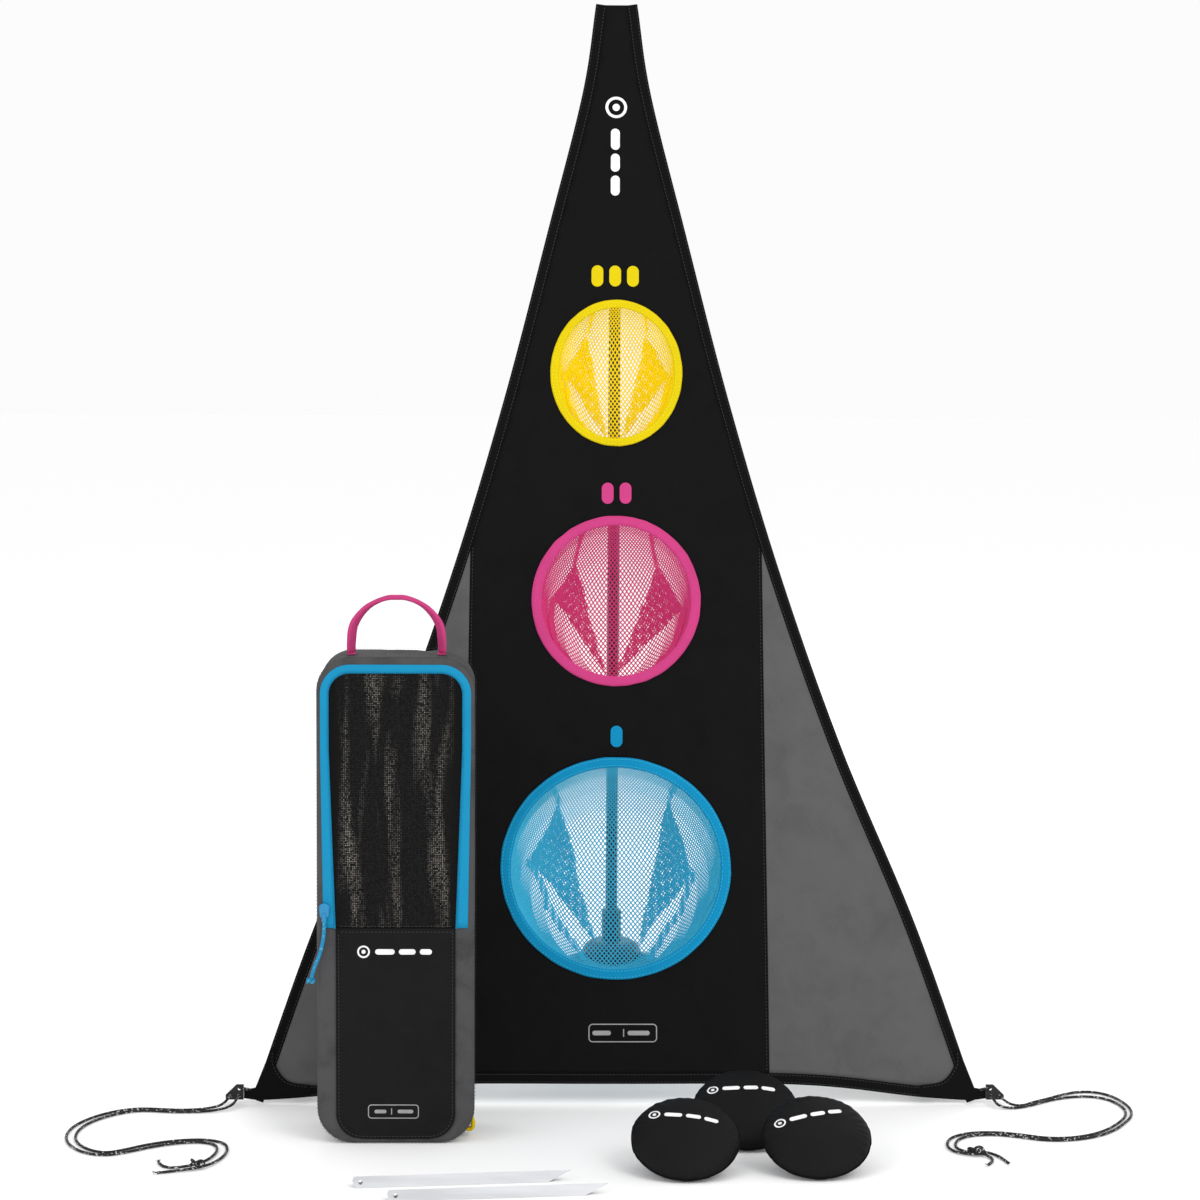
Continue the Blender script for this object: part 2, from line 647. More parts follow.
def mouth(pocket, margin=0.0):
    """Half sizes along the middle of a pocket's rim."""
    return pocket.half_width - pocket.rim / 2 + margin, pocket.half_height - pocket.rim / 2 + margin


def rim_loop(pocket, count):
    return ellipse(*mouth(pocket), count, 0.0, pocket.height)


def in_pocket(u, v, margin=0.0):
    """True inside a pocket's hole, or within a margin round it."""
    halves = [(pocket.height, *mouth(pocket, margin)) for pocket in POCKETS.values()]
    return any(math.hypot(u / wide, (v - height) / high) < 1 for height, wide, high in halves)


def side_at(height, inset=0.0):
    """Half width of the sheet."""
    return looked_up(SIDE_LINE, height) - 1.05 * inset


def hem_at(offset, inset=0.0):
    """Height of the hem's lower edge."""
    return looked_up(HEM_LINE, abs(offset)) + inset


def seam_at(height):
    """Half width of the centre panel along the seams."""
    return 0.175 - 0.008 * height / 0.64


def centre_half(height):
    """Half width of the centre panel: to the seams below, to the tape above."""
    return min(seam_at(height), side_at(height, TAPE - 0.002))


SLACK, PULL_LINE, PUCKER = 0.0032, 0.003, 0.0012


def ripple(u, v):
    """How far the cloth stands off its plane: slack, pull lines and puckers round the pockets."""
    ridge = 1 - abs(wander(u * 9 + v * 2.5, v * 5 - u * 2, 5.1))
    slack = SLACK * wander(u * 5, v * 3.2, 1.7) + PULL_LINE * max(0.0, ridge - 0.72) / 0.28
    for pocket in POCKETS.values():
        x, y = u / pocket.half_width, (v - pocket.height) / pocket.half_height
        away = max(0.0, math.hypot(x, y) - 1)
        if away < 0.6:
            fade = math.exp(-away * 9)
            pucker = math.sin(math.atan2(y, x) * 19) * min(1, away * 12)
            slack = slack * (1 - fade) + PUCKER * fade * pucker
    room = max(0.0, min(side_at(v, TAPE) - abs(u), v - hem_at(u, TAPE)))
    return slack * min(1.0, room / 0.03)


def on_sheet(u, v, n=0.0):
    return SHEET @ Vector((u, v, n + ripple(u, v)))


def sheet_up(_):
    return SHEET_UP


def make_centre_panel():
    """Black panel with three holes, triangulated round them."""
    pitch, top, clear, holes = 0.009, 1.2645, 0.004, 96
    rows = evenly(0.034, top, 130)
    outline = [(u, hem_at(u, 0.0115)) for u in evenly(-0.174, 0.174, 24)[:-1]]
    outline += [(centre_half(v), v) for v in rows]
    outline += [(-centre_half(v), v) for v in rows[::-1]]
    points, edges = list(outline), []
    for pocket in POCKETS.values():
        edges += [(len(points) + k, len(points) + (k + 1) % holes) for k in range(holes)]
        points += rim_loop(pocket, holes)
    for row in range(1, 145):
        v = 0.03 + row * pitch
        for column in range(-20, 21):
            u = (column + 0.5 * (row % 2)) * pitch
            inside = abs(u) < centre_half(v) - clear and hem_at(u, 0.016) < v < top - clear
            if inside and not in_pocket(u, v, clear):
                points.append((u, v))
    spots, _, cells, *_ = delaunay_2d_cdt(
        [Vector(point) for point in points], edges, [list(range(len(outline)))], 1, 1e-6)
    faces = []
    for cell in cells:
        u, v = (sum(spots[index][axis] for index in cell) / len(cell) for axis in (0, 1))
        if not in_pocket(u, v):
            faces.append(tuple(cell))
    surface = [on_sheet(*spot) for spot in spots], faces, [tuple(spot) for spot in spots]
    panel = piece("centre_panel_cloth", surface, "panel_black", "sheet", "centre_panel")
    thicken(panel, CLOTH)


def make_side_panel(label, side):
    """Grey panel between a seam and the tape."""
    top, lap = 0.632, 0.004
    foot_in, foot_out = seam_at(0.03), side_at(0.02, TAPE)

    def point(across, along):
        foot = hem_at(foot_in + (foot_out - foot_in) * across, 0.0115)
        v = foot + (top - foot) * along
        inner, outer = seam_at(v), max(side_at(v, TAPE - 0.002), seam_at(v))
        u = side * (inner - lap + (outer - inner + lap) * across)
        return on_sheet(u, v, -0.0003), (u, v)

    verts, faces, uvs = grid(90, 30, point)
    if side > 0:
        faces = [face[::-1] for face in faces]
    name = f"side_panel_{label}"
    panel = piece(f"{name}_cloth", (verts, faces, uvs), "panel_grey", "sheet", name)
    thicken(panel, CLOTH)
    line = [on_sheet(side * (seam_at(v) - 0.0028), v, 0.0006) for v in evenly(0.035, 0.635, 60)]
    stitch_row(f"seam_stitches_{label}", line, sheet_up, "sheet")


def make_bindings():
    """Folded tape along both sides and the hem, each with two rows of stitches."""
    routes = {}
    for label, side in SIDES.items():
        outer = [(side * (half - TAPE / 2), height) for height, half in SIDE_LINE]
        routes[f"edge_{label}"] = resampled(outer, 0.008)
    routes["hem"] = [(u, hem_at(u) + TAPE / 2) for u in evenly(-0.404, 0.404, 110)]
    for name, route in routes.items():
        stations = stations_on([on_sheet(*spot) for spot in route], sheet_up)
        tape = sweep(stations, tape_profile(-TAPE / 2, TAPE / 2, 0.0024))
        piece(f"{name}_tape", tape, "tape", "sheet", "hem_binding" if name == "hem" else name)
        stitch_pair(f"{name}_stitches", stations, sheet_up, "sheet", aside=0.0042, lift=0.0011)


def make_prints():
    """Score bars over the pockets, a plain target sign at the top and a small sign on the hem."""
    place = raised(on_sheet, 0.001)
    for name, pocket in POCKETS.items():
        v = pocket.height + pocket.half_height + pocket.bar_rise
        for k in range(pocket.bars):
            u = (k - (pocket.bars - 1) / 2) * 0.0205 + pocket.bar_shift
            flat_patch(f"score_{name}_{k}", rounded_box(u, v, 0.0068, 0.0122), pocket.finish, "sheet", place)
    bars = [(-0.0015, v, 0.0052, half) for v, half in ((1.1065, 0.0125), (1.079, 0.0105), (1.0525, 0.0115))]
    make_sign("", "sheet", place, centre=(-0.0005, 1.144), radii=(0.0125, 0.0093), dot=0.0042, bars=bars)
    make_badge("", "sheet", place, centre=(0.008, 0.0795),
               frames=((0.039, 0.0105, 0.005), (0.0378, 0.0093, 0.0038)),
               bars=((-0.016, 0.0105, 0.0026), (0.009, 0.0006, 0.0045), (0.026, 0.0125, 0.0026)))


# Pockets

NET_ROWS = [
    (0.0, 0.0, -0.42, 1.0), (0.24, 0.27, -0.44, 0.995), (0.45, 0.5, -0.44, 0.95), (0.64, 0.68, -0.34, 0.82),
    (0.77, 0.8, -0.24, 0.66), (0.87, 0.88, -0.14, 0.46), (0.94, 0.94, -0.06, 0.26), (1.0, 1.0, 0.0, 0.0)]
NET_GATHER, NET_WAVE, BEHIND = 0.0035, 0.004, 0.0015


def meridian(pocket):
    """Rows from the net's back to its mouth: arc length, half width, half height, drop and depth."""
    a, b = mouth(pocket)
    arc, table, last = 0.0, [], NET_ROWS[0]
    for row in NET_ROWS:
        wide, high, drop, deep = row
        arc += math.hypot((wide - last[0]) * (a + b) / 2, (deep - last[3]) * pocket.depth)
        table.append((arc, wide * a, high * b, drop * b, deep * pocket.depth))
        last = row
    return table


def net_row(table, reach):
    return [looked_up([(row[0], row[k]) for row in table], reach) for k in (1, 2, 3, 4)]


def net_point(pocket, table, p, q, lift=0.0):
    """Place on the net of a point on its flat cloth."""
    reach, angle = math.hypot(p, q), math.atan2(q, p)
    wide, high, drop, deep = net_row(table, reach)
    share = reach / table[-1][0]
    free = math.sin(math.pi * min(1, share))
    gather = NET_GATHER * math.sin(angle * 13 + 1.3 * math.sin(angle * 3)) * free * share
    wave = NET_WAVE * wander(p * 14, q * 14, 3.3) * free
    u, v = wide * math.cos(angle), pocket.height + drop + high * math.sin(angle)
    return SHEET @ Vector((u, v, -BEHIND - max(0.0, deep + gather + wave - lift)))


def seen_from_mouth(table, p, q):
    """Where a point of the flat cloth shows in the mouth, as shares of its half sizes."""
    wide, high, drop, _ = net_row(table, math.hypot(p, q))
    angle = math.atan2(q, p)
    return wide * math.cos(angle) / table[-1][1], (drop + high * math.sin(angle)) / table[-1][2]


def yarns(lines, radius):
    """Thin three-sided yarns along polylines."""
    strands = []
    for line in lines:
        verts = []
        for index, place in enumerate(line):
            along = heading(line, index)
            side = along.cross(SHEET_UP)
            side = side.normalized() if side.length > 1e-9 else X
            top = side.cross(along).normalized()
            verts += [place + side * radius, place + top * radius, place - side * radius]
        strands.append((verts, walls(len(line), 3)))
    return merged(strands)


def crossing_lines(reach, pitch, step, keep, tilt):
    """Two families of slanting lines over a flat disc, cut where keep is false."""
    lines, count, places = [], int(reach / pitch), int(reach / step)
    for sign in (-1, 1):
        along = Vector((math.cos(tilt), sign * math.sin(tilt)))
        aside = Vector((-along.y, along.x))
        for k in range(-count, count + 1):
            spots = [aside * k * pitch + along * index * step for index in range(-places, places + 1)]
            for kept, run in groupby(spots, lambda spot: spot.length < reach and keep(*spot)):
                line = list(run)
                if kept and len(line) > 1:
                    lines.append(line)
    return lines


FOLDS = {
    "upper": (
        ([(-0.46, 0.6), (-0.84, 0.05), (-0.12, -0.88)],
         [[(-0.46, 0.6), (-0.36, 0.93)], [(-0.84, 0.05), (-0.76, -0.35), (-0.45, -0.8)]]),
        ([(0.5, 0.62), (0.86, 0.0), (0.1, -0.88)],
         [[(0.5, 0.62), (0.4, 0.93)], [(0.86, 0.0), (0.78, -0.4), (0.5, -0.8)]])),
    "middle": (
        ([(-0.5, 0.52), (-0.78, 0.08), (-0.08, -0.9)],
         [[(-0.5, 0.52), (-0.46, 0.72), (-0.38, 0.93)], [(-0.78, 0.08), (-0.83, -0.2), (-0.7, -0.58)]]),
        ([(0.55, 0.5), (0.86, -0.05), (0.0, -0.9)],
         [[(0.55, 0.5), (0.46, 0.68), (0.42, 0.92)], [(0.86, -0.05), (0.83, -0.35), (0.64, -0.68)]])),
    "lower": (
        ([(-0.5, 0.62), (-0.78, 0.07), (-0.15, -0.74)],
         [[(-0.5, 0.62), (-0.54, 0.72), (-0.62, 0.82)], [(-0.78, 0.07), (-0.6, -0.38), (-0.28, -0.86)]]),
        ([(0.5, 0.7), (0.73, -0.04), (0.22, -0.78)],
         [[(0.5, 0.7), (0.55, 0.86)], [(0.73, -0.04), (0.62, -0.42), (0.34, -0.88)],
          [(0.93, 0.1), (0.88, -0.3), (0.68, -0.66)]])),
}
RIDGE = 0.032


def folded(x, y, corners, ridges):
    """True where the net lies double: in a hanging flap or along a gathered ridge."""
    x += 0.03 * wander(x * 3, y * 3, 1.0)
    y += 0.03 * wander(x * 3, y * 3, 6.0)
    turns = [(bx - ax) * (y - ay) - (by - ay) * (x - ax) > 0
             for (ax, ay), (bx, by) in zip(corners, corners[1:] + corners[:1])]
    if all(turns) or not any(turns):
        return True
    for line in ridges:
        for (ax, ay), (bx, by) in zip(line, line[1:]):
            span = (bx - ax) ** 2 + (by - ay) ** 2
            share = min(1.0, max(0.0, ((x - ax) * (bx - ax) + (y - ay) * (by - ay)) / span))
            if math.hypot(x - ax - share * (bx - ax), y - ay - share * (by - ay)) < RIDGE:
                return True
    return False


def make_pocket(name):
    """Net of real yarns, its doubled folds, and the padded rim with its stitches."""
    pocket = POCKETS[name]
    table, yarn = meridian(pocket), f"net_{pocket.finish}"

    def net(label, pitch, step, radius, keep, tilt, lift=0.0, node=None):
        flat = crossing_lines(table[-1][0], pitch, step, keep, math.radians(tilt))
        lines = [[net_point(pocket, table, *spot, lift) for spot in line] for line in flat]
        piece(f"net_{name}_{label}", yarns(lines, radius), yarn, "sheet", node)

    net("yarns", pitch=0.0038, step=0.006, radius=0.0007, keep=lambda x, y: True, tilt=48, node=f"net_{name}")
    for index, (corners, ridges) in enumerate(FOLDS[name]):
        for layer, (tilt, lift, seen) in enumerate(((38, 0.004, []), (60, 0.0065, ridges))):
            net(f"fold_{index}_{layer}", pitch=0.0029, step=0.0035, radius=0.0006,
                keep=lambda x, y: folded(*seen_from_mouth(table, x, y), corners, seen), tilt=tilt, lift=lift)
    line = [on_sheet(u, v, 0.0012) for u, v in rim_loop(pocket, 140)]
    stations = []
    for index, (place, across, up) in enumerate(stations_on(line, sheet_up, closed=True)):
        swell = 1 + 0.1 * wander(index * 0.35, pocket.half_width * 50, 0)
        stations.append((place, across * swell, up * (1.15 * swell)))
    profile = tape_profile(-pocket.rim / 2, pocket.rim / 2, 0.0026, flat=0.7)
    piece(f"rim_{name}_tape", sweep(stations, profile, closed=True), pocket.finish, "sheet", f"rim_{name}")
    stitch_pair(f"rim_{name}_stitches", stations, sheet_up, "sheet", yarn, closed=True,
                aside=0.0022 - pocket.rim / 2, lift=0.0014)


# Corners, sleeve and hooks

def make_corner(label, side):
    """Reinforcement with a hollowed edge, its stitches, the cord loop and the webbing hook."""
    bow = curve_through([(0.345, 0.02), (0.372, 0.026), (0.386, 0.045), (0.3865, 0.062)], 6)
    outline = [(0.345, 0.0085), (0.41, 0.0045), (0.4205, 0.006), (0.4205, 0.0155), (0.4075, 0.018),
               (0.3905, 0.061), *bow[::-1]]
    flat_patch(f"corner_patch_{label}_cloth", [(side * x, y) for x, y in outline], "tape", "sheet",
               raised(on_sheet, 0.0013), 3 * PRINT, f"corner_patch_{label}")
    row = [on_sheet(side * (x + 0.002), y - 0.002, 0.0022) for x, y in bow]
    stitch_row(f"corner_stitches_{label}", row, sheet_up, "sheet")
    ring = [SHEET @ Vector((side * (0.4195 + 0.0065 * x), 0.0165 + 0.0012 * x, 0.0049 * n))
            for x, n in ellipse(1, 1, 28)]
    around = (SHEET.to_3x3() @ Y).normalized()
    stations = stations_on(ring, lambda _: around, closed=True)
    piece(f"corner_loop_{label}", sweep(stations, ellipse(0.0013, 0.0013, 8), closed=True), "cord", "sheet")
    make_hook(label)


def make_hook(label):
    """Webbing in two strips, from the sheet's back over the leg and down behind it."""
    joint = next(joint for joint in frame["joints"] if joint["name"] == f"leg_{label}_slide")
    outwards = Vector(joint["axis"]).normalized()
    level = Z.cross(outwards).normalized()
    down = level.cross(outwards).normalized()
    front = -level if level.y > 0 else level
    centre = Vector((0, POLE_Y, 0.1284)) + outwards * (math.hypot(0.4, 0.205, 0.1199) - 0.045)
    reach = -(SHEET_UP.dot(centre - SHEET.translation)) / SHEET_UP.dot(front) - 0.0045
    slope = SHEET_UP.dot(outwards) / SHEET_UP.dot(front)
    radius = 0.009

    def bent(degrees):
        cos, sin = polar(degrees)
        return centre - down * radius * cos + front * radius * sin

    over = [centre + front * (reach * (1 - k / 12)) - down * radius for k in range(12)]
    over += [bent(-degrees) for degrees in evenly(0, 90, 8)]
    over += [centre - front * radius + down * 0.002 * k for k in (1, 2, 3)]
    facing = [centre + down * drop + front * radius for drop in (0.006, 0.003)]
    facing += [bent(degrees) for degrees in evenly(90, 10, 8)]
    for part, line, cut_back in (("over", over, 10), ("front", facing, 0)):
        stations = []
        for index, place in enumerate(line):
            cut = slope * max(0.0, 1 - index / cut_back) if cut_back else 0.0
            along = heading(line, index).normalized()
            stations.append((place, outwards - front * cut, outwards.cross(along).normalized()))
        piece(f"corner_strap_{label}_{part}", sweep(stations, tape_profile(-0.01, 0.01, 0.0015)), "tape",
              "sheet", f"corner_strap_{label}")


def make_sleeve():
    """Pocket of folded cloth round the pole's tip, sewn to the sheet's back."""
    low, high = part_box("top_sleeve")
    rows, columns = 14, 28
    half, deep, back, wing = 0.0098, 0.0088, POLE_Y + 0.0002, 0.14

    def point(across, along):
        z = low.z + (high.z - low.z - 0.0008) * along
        shut = max(0.0, along - 0.85) / 0.15
        front = SHEET.translation.y + z * math.tan(LEAN) + 0.0015
        angle = math.pi * (across - 0.5)
        wrinkle = 0.0005 * wander(across * 9, along * 6, 2.0)
        x = half * math.sin(angle)
        y = max(front, back + (deep + wrinkle) * math.cos(angle) * (1 - 0.5 * shut * shut))
        if across < wing or across > 1 - wing:
            share = min(across, 1 - across) / wing
            edge = half * math.sin(math.pi * (0.5 - wing))
            x = math.copysign(edge + (half - edge) * share, across - 0.5)
            y = front + (back + deep * math.cos(math.pi * (0.5 - wing)) - front) * share
        return Vector((x, y, z)), (across * 0.05, along * 0.06)

    verts, faces, uvs = grid(rows, columns, point)
    faces.append(tuple(range(rows * (columns + 1), (rows + 1) * (columns + 1))))
    thicken(piece("top_sleeve_cloth", (verts, faces, uvs), "tape", "sheet", "top_sleeve"), 0.001, offset=-1)


# Carry bag

BAG_HALF, BAG_TOP, BAG_DEPTH = 0.085, 0.530, 0.092
PANEL_TOP, ZIP_BEND, COIL = 0.237, 0.491, 0.0045


def on_bag(x, z, n=0.0):
    return BAG @ Vector((x, z, n))


def bag_up(_):
    return BAG_UP


def bag_outwards(place):
    """Outward direction of the bag's side at a place on its outline."""
    local = BAG.inverted() @ place
    inner = Vector((max(-0.047, min(0.047, local.x)), max(0.038, min(0.494, local.y)), local.z))
    return (BAG.to_3x3() @ (local - inner)).normalized()


def bag_outline(inset):
    """Front outline of the bag moved inwards, with the same count each time."""
    half, top = BAG_HALF - inset, BAG_TOP - inset
    foot, head = max(0.038 - inset, 0.0015), max(0.036 - inset, 0.0015)
    corners = [(-half + foot, inset + foot, foot), (half - foot, inset + foot, foot),
               (half - head, top - head, head), (-half + head, top - head, head)]
    points = []
    for k, (first, count) in enumerate(((-90, 10), (0, 44), (90, 10), (180, 44))):
        aim = polar(first)
        start, end = ([x + aim[0] * radius, z + aim[1] * radius]
                      for x, z, radius in (corners[k], corners[(k + 1) % 4]))
        points += list(zip(*(evenly(a, b, count)[:-1] for a, b in zip(start, end))))
        x, z, radius = corners[(k + 1) % 4]
        points += [(x + radius * a, z + radius * b) for a, b in map(polar, evenly(first, first + 90, 8)[:-1])]
    return points


def bag_dent(x, z, n):
    """Slack of the bag's cloth: soft hollows and a few upright creases."""
    ridge = 1 - abs(wander(x * 26, z * 11 + 4, n * 30))
    return 0.0026 * wander(x * 16, z * 9, n * 22) - 0.0018 * max(0.0, ridge - 0.8) / 0.2


BAG_LEVELS = [
    (0.084, -0.0012), (0.06, -0.0012), (0.04, -0.0012), (0.022, -0.0012), (0.011, -0.0008), (0.006, -0.0002),
    (0.003, -0.0008), (0.001, -0.003), (0.0, -0.008), *[(0.0, n) for n in evenly(-0.008, -0.084, 8)[1:]],
    (0.001, -0.0888), (0.003, -0.0912), (0.007, -0.0918), (0.016, -0.092), (0.03, -0.092), (0.046, -0.092),
    (0.062, -0.092), (0.084, -0.092)]


def make_bag_body():
    """Grey gusset, back and front border as one soft box, built of outlines (inset, depth)."""
    verts, mid, recess, border_wrinkle = [], BAG_TOP / 2, 0.004, 0.0016
    for inset, n in BAG_LEVELS:
        on_front, on_back = n > -0.012, n < -0.09
        for x, z in bag_outline(inset):
            pull = 0.0 if on_front or z <= 0.02 else min(bag_dent(x, z, n), 0.0) - 0.0008
            level = n
            if on_front and inset > 0.02 and z > 0.24:
                level -= recess
            if 0.002 < inset < 0.012 and z < 0.232:
                level -= border_wrinkle * (0.5 + wander(x * 40, z * 26, 3.0))
            if on_back:
                verts.append(on_bag(x, z, level - pull))
            else:
                out_x = x / BAG_HALF if abs(x) > 0.06 else 0
                out_z = (z - mid) / mid if abs(z - mid) > 0.24 else 0
                verts.append(on_bag(x + out_x * pull, z + out_z * pull, level))
    rings, girth = len(BAG_LEVELS), len(bag_outline(0))
    piece("bag_body_cloth", (verts, walls(rings, girth) + caps(rings, girth)), "bag_grey", "bag", "bag_shell")
    for label, n in (("front", -0.0065), ("back", -0.0855)):
        line = [on_bag(x, z, n) for x, z in bag_outline(-0.0001)]
        stitch_row(f"bag_seam_stitches_{label}", line, bag_outwards, "bag")


def front_bulge(x, z):
    """Shallow swell and slack of the lower front panel."""
    share = max(0.0, 1 - (x / 0.064) ** 2) * max(0.0, 1 - ((z - 0.121) / 0.116) ** 2)
    slack = wander(x * 22, z * 12, 7.7)
    ridge = max(0.0, 0.9 - abs(wander(x * 12 + z * 10, z * 14, 2.2)) * 5)
    return share ** 0.5 * (0.0006 + 0.0009 * slack + 0.0009 * ridge)


def make_front_panel():
    """Black lower front panel with rounded lower corners."""
    half, low, corner, margin = 0.0643, 0.0055, 0.028, 0.003

    def point(across, along):
        z = low + (PANEL_TOP - low) * along ** 1.15
        edge = half
        if z < low + corner:
            edge = half - corner + math.sqrt(max(0.0, corner ** 2 - (low + corner - z) ** 2))
        x = -edge + 2 * edge * across
        return on_bag(x, z, 0.0002 + front_bulge(x, z)), (x, z)

    panel = piece("bag_front_cloth", grid(64, 34, point), "bag_black", "bag", "bag_front_panel")
    thicken(panel, 0.0012, offset=-1)
    loop = [(-half + margin, PANEL_TOP - 0.004), (-half + margin, low + corner)]
    for cos, sin in map(polar, range(10, 91, 10)):
        loop.append((-half + corner - (corner - margin) * cos, low + corner - (corner - margin) * sin))
    loop += [(-x, z) for x, z in loop[::-1]]
    line = [on_bag(x, z, 0.0004 + front_bulge(x, z)) for x, z in loop]
    stitch_row("bag_panel_stitches", line + line[:1], bag_up, "bag")


def zip_edges(z):
    """Half widths of the zip's outer and inner edges below its top corners."""
    share = min(1.0, max(0.0, (z - PANEL_TOP) / 0.193))
    return 0.078 + 0.003 * share, 0.065 + 0.007 * share


def zip_path():
    """Stations along the zip from its left end over the top: middle, outward direction and half band."""
    result = []
    for z in evenly(0.2375, ZIP_BEND, 33):
        outer, inner = zip_edges(z)
        result.append(((-(outer + inner) / 2, z), (-1.0, 0.0), (outer - inner) / 2))
    for cos, sin in map(polar, evenly(180, 90, 14)[1:]):
        result.append(((-0.049 + 0.0275 * cos, ZIP_BEND + 0.0275 * sin), (cos, sin), COIL))
    result += [((x, 0.5185), (0.0, 1.0), COIL) for x in evenly(-0.049, 0, 12)[1:]]
    return result + [((-x, z), (-dx, dz), half) for (x, z), (dx, dz), half in result[-2::-1]]


def make_zip():
    """Ribbed tape with a row of coil turns along its inner edge."""
    stations, inner_line, teeth = [], [], []
    for (x, z), (dx, dz), half in zip_path():
        across, inwards = (BAG.to_3x3() @ Vector((dx, dz, 0))).normalized(), half - 0.0006
        level = -0.0002 + 0.0004 * wander(x * 30, z * 30, 0)
        stations.append((on_bag(x, z, level), across * (half / COIL), BAG_UP))
        inner_line.append(on_bag(x - dx * inwards, z - dz * inwards, 0.0004))
    profile = [(-0.0045, -0.001), (-0.0044, 0.0003), (-0.0036, 0.0005), (-0.003, 0.001), (-0.001, 0.0011),
               (0.0025, 0.001), (0.0042, 0.0005), (0.0045, -0.001)]
    piece("bag_zip_tape", sweep(stations, profile), "zip", "bag", "bag_zip")
    for place, across, up in stations_on(resampled(inner_line, 0.0021), bag_up):
        along = up.cross(across)
        verts = [place + across * a + along * b + up * c for a in (-0.0009, 0.0013)
                 for b, c in ((-0.0007, 0), (0.0007, 0), (0.0005, 0.0007), (-0.0005, 0.0007))]
        teeth.append((verts, walls(2, 4) + [face[::-1] for face in caps(2, 4)]))
    piece("bag_zip_coil", merged(teeth), "zip", "bag", smooth=False)


def make_window():
    """Mesh window that hangs in slack upright folds."""
    low, top = 0.2372, 0.514

    def point(across, along):
        z = low + (top - low) * along
        half = zip_edges(z)[1]
        if z >= ZIP_BEND:
            half = 0.049 + math.sqrt(max(0.0, 0.023 ** 2 - (z - ZIP_BEND) ** 2))
        x = -half + 2 * half * across
        fade = min(1.0, max(0.0, min(half - abs(x), z - low, top - z)) / 0.012)
        fold = math.sin(x * 330 + 2.5 * wander(x * 30, z * 9, 0) * 3)
        slack = wander(x * 20, z * 10, 9.0)
        return on_bag(x, z, -0.0004 + fade * (0.0006 * fold + 0.001 * slack - 0.0002)), (x, z)

    window = piece("bag_window_cloth", grid(110, 76, point), "bag_mesh", "bag", "bag_mesh_window")
    thicken(window, 0.0008, offset=-1)
    line = [on_bag(x, low + 0.0022, 0.0008) for x in evenly(-0.062, 0.062, 40)]
    stitch_row("bag_window_stitches", line, bag_up, "bag")


FOOT_X = 0.0487
HALF_ARCH = [(-FOOT_X, 0, -0.0072), (-FOOT_X, 0, 0.004), (-0.0455, 0, 0.024), (-0.031, 0, 0.0425),
             (-0.0125, 0, 0.0515)]
WEBBING = [(-0.0078, 0), (-0.0068, 0.0016), (-0.0035, 0.0027), (0, 0.0022), (0.0035, 0.0027),
           (0.0068, 0.0016), (0.0078, 0), (0.0068, -0.0018), (0, -0.0026), (-0.0068, -0.0018)]


def make_handle():
    """Arch of webbing rolled to a soft tube between two flat sewn ends."""
    pivot = centre_of("bag_handle")
    pivot.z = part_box("bag_handle")[0].z + 0.008
    arch = HALF_ARCH + [(0, 0, 0.0527)] + [(-x, y, z) for x, y, z in HALF_ARCH[::-1]]
    line = resampled(curve_through(arch, 8), 0.003)
    stations = []
    for index, place in enumerate(line):
        share = abs(index / (len(line) - 1) - 0.5) * 2
        wide, thick = 1 - 0.12 * (1 - share ** 4), 1.0 if share < 0.8 else 1 - 2.6 * (share - 0.8)
        cos, sin = polar(34 * min(1.0, max(0.0, share - 0.12) / 0.5))
        up = Y.cross(heading(line, index)).normalized()
        stations.append((pivot + place, (Y * cos + up * sin) * wide, (up * cos - Y * sin) * thick))
    piece("bag_handle_webbing", sweep(stations, WEBBING), "handle", "handle", "bag_handle")
    stitch_pair("handle_stitches", stations[3:-3], lambda place: (place - pivot).normalized(), "handle",
                "handle", aside=-0.0045, lift=0.0026)
    for label, side in SIDES.items():
        foot = Vector((pivot.x + side * FOOT_X, pivot.y, 0.5302))
        base = [(foot + Y * y, X, Z) for y in (-0.0095, -0.0085, 0.0085, 0.0095)]
        piece(f"handle_anchor_{label}", sweep(base, tape_profile(-0.0045, 0.0045, 0.0009)), "handle", "bag")


def make_loop():
    """Yellow webbing folded into a small loop at the lower corner, its ends sewn flat up the bag's side."""
    low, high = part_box("bag_loop")
    half, y = (high.y - low.y) / 2, (low.y + high.y) / 2
    eye = Vector((BAG.translation.x + BAG_HALF - 0.0064, y, low.z + 0.0064))
    line = [Vector((high.x - dx, y, high.z - dz))
            for dx, dz in ((0.0115, 0.001), (0.0075, 0.0014), (0.004, 0.004), (0.0017, 0.009))]
    line += [eye + Vector((cos, 0, sin)) * 0.0043 for cos, sin in map(polar, range(10, -190, -15))]
    line += [eye + Vector((-0.0042, 0, rise)) for rise in (0.004, 0.012)]
    line = curve_through(line, 3)
    stations = [(place, Y, heading(line, index).cross(Y).normalized()) for index, place in enumerate(line)]
    piece("bag_loop_webbing", sweep(stations, tape_profile(-half, half, 0.0042)), "loop", "bag", "bag_loop")
    tab = [(eye + Vector((-0.0008, aside, 0.0092)), Z, X)
           for aside in (-half + 0.0006, -half + 0.002, half - 0.002, half)]
    piece("bag_loop_fold", sweep(tab, tape_profile(-0.0038, 0.0045, 0.0088)), "loop", "bag")


